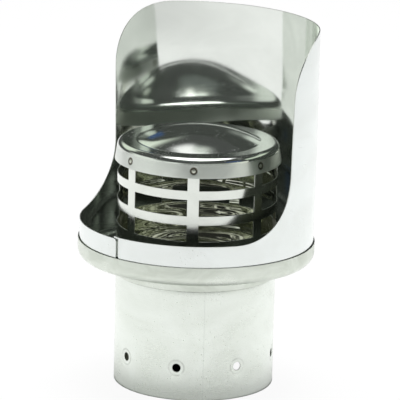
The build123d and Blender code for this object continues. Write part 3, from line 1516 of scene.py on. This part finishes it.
@dataclass(frozen=True)
class Studio:
    """White floor in a dim room with pale walls at its sides and soft lights overhead.

    Attributes:
        camera_azimuth: Azimuth from which the panels' are counted.
        floor_half: Half the floor's side.
        floor_colour: Colour of the matt floor, which takes the shadow.
        floor_glow: Share of plain white in the floor to the eye.
        mirrored_glow: Share of plain white in the floor in the metal.
        bore_radius: Radius of the floor that stands inside the tube.
        dark_spot: Radius of the floor under the tube's middle that is painted black as shade.
        bore_band: Radii of a ring of the floor painted bright, which the bore mirrors.
        bore_glow: Strength of that ring.
        bore_shade: Strength of the floor beside it.
        deep_share: Share of the room's light past the last mirror.
        horizon: Colour of the room near the floor.
        dusk: Colour of the room above that.
        horizon_top: Heights of a direction between which the one turns into the other.
        panels: Bright and dark patches of the room.
        lamp_power: Power of the lamp.
        lamp_size: Width of the lamp.
        lamp_place: Place of the lamp.
    """

    camera_azimuth: float
    floor_half: float = 3.0
    floor_colour: Colour = (0.82, 0.82, 0.82)
    floor_glow: float = 0.94
    mirrored_glow: float = 0.5
    bore_radius: float = 40.5 * MM
    dark_spot: float = 25 * MM
    bore_band: Span = (27 * MM, 35 * MM)
    bore_glow: float = 0.9
    bore_shade: float = 0.04
    deep_share: float = 0.7
    horizon: Colour = (0.9, 0.92, 0.9)
    dusk: Colour = (0.08, 0.085, 0.081)
    horizon_top: Span = (-0.01, 0.025)
    panels: tuple[SkyPanel, ...] = (
        SkyPanel(-52.0, 2.0, 30.0, 6.0, 12.0, 2.0, (1.08, 1.12, 1.07), Mirrored.ONCE),
        SkyPanel(14.0, 2.0, 26.0, 6.0, 12.0, 2.0, (0.52, 0.55, 0.51), Mirrored.ONCE),
        SkyPanel(62.0, 2.0, 18.0, 6.0, 10.0, 2.0, (0.8, 0.83, 0.74), Mirrored.ONCE),
        SkyPanel(-86.0, 4.0, 22.0, 15.0, 13.0, 3.5, (0.9, 0.94, 0.89), Mirrored.ONCE),
        SkyPanel(-12.0, 48.0, 32.0, 9.0, 10.0, 4.0, (0.17, 0.185, 0.18)),
        SkyPanel(-58.0, 12.5, 14.0, 6.0, 8.0, 3.0, (0.3, 0.315, 0.3)),
        SkyPanel(-52.0, 27.0, 9.0, 4.0, 5.0, 3.0, (0.6, 0.63, 0.58), Mirrored.DEEP),
        SkyPanel(-72.0, 8.0, 8.0, 3.0, 5.0, 2.0, (0.85, 0.89, 0.84)),
        SkyPanel(-76.0, 14.0, 13.0, 5.5, 7.0, 2.5, (0.9, 0.94, 0.89)),
        SkyPanel(53.0, 21.0, 11.0, 7.0, 4.0, 3.0, (0.07, 0.12, 0.26)),
        SkyPanel(-146.0, 29.0, 22.0, 11.0, 8.0, 4.0, (0.85, 0.93, 0.8)),
        SkyPanel(179.0, 61.0, 9.0, 6.0, 7.0, 4.0, (0.75, 0.8, 0.74)),
        SkyPanel(-168.0, 58.0, 8.0, 6.5, 5.0, 4.0, (1.3, 1.3, 1.3)),
        SkyPanel(-8.0, 62.0, 42.0, 6.0, 12.0, 5.0, (0.32, 0.34, 0.32)),
        SkyPanel(-29.0, 64.0, 8.0, 2.5, 6.0, 3.0, (1.4, 1.44, 1.36)),
        SkyPanel(4.0, 62.0, 8.0, 3.0, 7.0, 3.0, (1.5, 1.5, 1.45)),
        SkyPanel(0.0, 90.0, 180.0, 25.0, 1.0, 3.0, (3.0, 3.0, 3.0), Mirrored.SHARP),
    )
    lamp_power: float = 40.0
    lamp_size: float = 1.2
    lamp_place: tuple[float, float, float] = (-0.2, 0.28, 1.6)

    def build(self) -> None:
        """Builds the floor, the room and the lamp."""
        self._floor()
        self._room()
        self._lamp()

    def _floor(self) -> None:
        """Adds the floor."""
        mesh = bpy.data.meshes.new("floor")
        sides = ((-1, -1), (1, -1), (1, 1), (-1, 1))
        corners = [(x * self.floor_half, y * self.floor_half, 0.0) for x, y in sides]
        mesh.from_pydata(corners, [], [(0, 1, 2, 3)])
        mesh.materials.append(self._floor_finish())
        floor = linked("floor", mesh)

    def _floor_finish(self) -> bpy.types.Material:
        """Builds the floor's material.

        Returns:
            A matt white that keeps a soft shadow, with plain white mixed in to the eye and in the metal.
            Inside the tube it has a spot painted black as shade, and a ring painted bright that shows
            off two mirrors or more.
        """
        material = bpy.data.materials.new("white_floor")
        material.use_nodes = True
        shader = Shader(material.node_tree)
        path = shader.add("LightPath").outputs
        place = shader.add("TexCoord").outputs["Object"]
        outwards = shader.vector("LENGTH", place).outputs["Value"]
        # Painted shade: the floor under the tube's middle is black and gives no glow.
        clear = shader.step(outwards, self.dark_spot, self.dark_spot + MM)
        seen = shader.math("MULTIPLY", path["Is Camera Ray"], clear)
        deep = shader.math("GREATER_THAN", path["Glossy Depth"], PAST_ONE_MIRROR)
        # Painted light: a bright ring of floor inside the tube, shown only off two mirrors or more.
        inner, outer = (shader.step(outwards, edge, edge + MM) for edge in self.bore_band)
        band = shader.math("SUBTRACT", inner, outer)
        ring = shader.math("MULTIPLY_ADD", band, self.bore_glow, self.bore_shade)
        in_bore = shader.math("MULTIPLY", ring, deep)
        outside = shader.step(outwards, self.bore_radius, self.bore_radius + MM)
        around = shader.math("MULTIPLY", outside, self.mirrored_glow)
        bounced = shader.math("MAXIMUM", path["Is Glossy Ray"], path["Is Transmission Ray"])
        mirrored = shader.math("MULTIPLY", bounced, shader.math("MAXIMUM", around, in_bore))
        share = shader.math("MAXIMUM", shader.math("MULTIPLY", seen, self.floor_glow), mirrored)
        matt = shader.add("BsdfDiffuse", {"Color": shader.mix(clear, BLACK, self.floor_colour)})
        glow = shader.add("Emission", {"Color": WHITE, "Strength": 1.0})
        both = shader.add("MixShader", {0: share, 1: matt.outputs[0], 2: glow.outputs[0]})
        shader.add("OutputMaterial", {"Surface": both.outputs[0]})
        return material

    def _room(self) -> None:
        """Sets the room's light by direction and by the mirrors a ray came off, white to the eye."""
        world = bpy.data.worlds.new("studio")
        bpy.context.scene.world = world
        world.use_nodes = True
        shader = Shader(world.node_tree)
        direction = shader.add("TexCoord").outputs["Generated"]
        risen = shader.step(shader.level(direction), *self.horizon_top)
        colour = shader.mix(risen, self.horizon, self.dusk)
        path = shader.add("LightPath").outputs
        mirrors = path["Glossy Depth"]
        shallow = shader.math("LESS_THAN", mirrors, PAST_TWO_MIRRORS)
        shares = {
            Mirrored.SHARP: shader.math("MULTIPLY", path["Is Glossy Ray"], shallow),
            Mirrored.ONCE: shader.math("LESS_THAN", mirrors, PAST_ONE_MIRROR),
            Mirrored.DEEP: shader.math("GREATER_THAN", mirrors, PAST_TWO_MIRRORS),
        }
        for panel in self.panels:
            mask = panel.mask(shader, direction, self.camera_azimuth)
            if panel.mirrored in shares:
                mask = shader.math("MULTIPLY", mask, shares[panel.mirrored])
            colour = shader.mix(mask, colour, panel.colour)
        seen = shader.math("MAXIMUM", path["Is Camera Ray"], path["Is Transmission Ray"])
        deep = shader.math("GREATER_THAN", mirrors, PAST_THREE_MIRRORS)
        strength = shader.math("MULTIPLY_ADD", deep, self.deep_share - 1.0, 1.0)
        room = shader.add("Background", {"Color": colour, "Strength": strength})
        white = shader.add("Background", {"Color": WHITE, "Strength": 1.0})
        both = shader.add("MixShader", {0: seen, 1: room.outputs[0], 2: white.outputs[0]})
        shader.add("OutputWorld", {"Surface": both.outputs[0]})

    def _lamp(self) -> None:
        """Hangs a wide soft lamp over the object, out of its reflections."""
        lamp = bpy.data.lights.new("overhead", "AREA")
        lamp.shape = "DISK"
        lamp.size = self.lamp_size
        lamp.energy = self.lamp_power
        hung = linked("overhead", lamp)
        hung.location = self.lamp_place
        hung.rotation_euler = hung.location.to_track_quat("Z", "Y").to_euler()
        hung.visible_glossy = False


@dataclass(frozen=True)
class PhotoCamera:
    """Long lens in front of the mouth and a little above the object.

    Attributes:
        azimuth: Angle of the camera round the axis.
        elevation: Angle of the camera above the floor.
        roll: Turn of the camera about its own axis.
        distance: Distance from the camera to its target.
        lens: Focal length in millimetres.
        sensor: Width of the sensor in millimetres.
        aside: Offset of the target from the middle of the pan's rim, to the right.
        above: Offset of the target from there, up.
    """

    azimuth: float = math.radians(42.0)
    elevation: float = math.radians(14.5)
    roll: float = math.radians(1.4)
    distance: float = 1.8
    lens: float = 324.0
    sensor: float = 36.0
    aside: float = 1.85 * MM
    above: float = 18.38 * MM

    def place(self, pan_rim: float) -> None:
        """Places the camera so that the pan's rim lies where the lens sees it in the frame.

        Args:
            pan_rim: Level of the pan's rim.
        """
        away = on_wall(self.azimuth, math.cos(self.elevation), math.sin(self.elevation))
        level_right = Vector((math.cos(self.azimuth), math.sin(self.azimuth), 0.0))
        level_up = away.cross(level_right)
        right = level_right * math.cos(self.roll) + level_up * math.sin(self.roll)
        up = away.cross(right)
        target = Vector((0.0, 0.0, pan_rim)) + right * self.aside + up * self.above
        camera = bpy.data.cameras.new("photo_camera")
        camera.lens = self.lens
        camera.sensor_width = self.sensor
        holder = linked("photo_camera", camera)
        turned = Matrix((right, up, away)).transposed().to_4x4()
        holder.matrix_world = Matrix.Translation(target + away * self.distance) @ turned
        bpy.context.scene.camera = holder


def write_sizes() -> None:
    """Brings the view layer's evaluated data up to date."""
    bpy.context.view_layer.update()


def main() -> None:
    """Builds the studio, the pieces from the spigot up and the camera."""
    logging.basicConfig(level=logging.INFO, format="%(message)s")
    bpy.context.scene.view_settings.view_transform = "Standard"
    camera = PhotoCamera()
    Studio(camera.azimuth).build()
    pan = DripPan.from_frame()
    cage = SlottedCage.from_frame()
    for piece in (Spigot.from_frame(), pan, cage, CageCap.from_frame(cage), WindHood.from_frame(pan)):
        piece.build()
    camera.place(pan.rim)
    write_sizes()


if __name__ == "__main__":
    main()
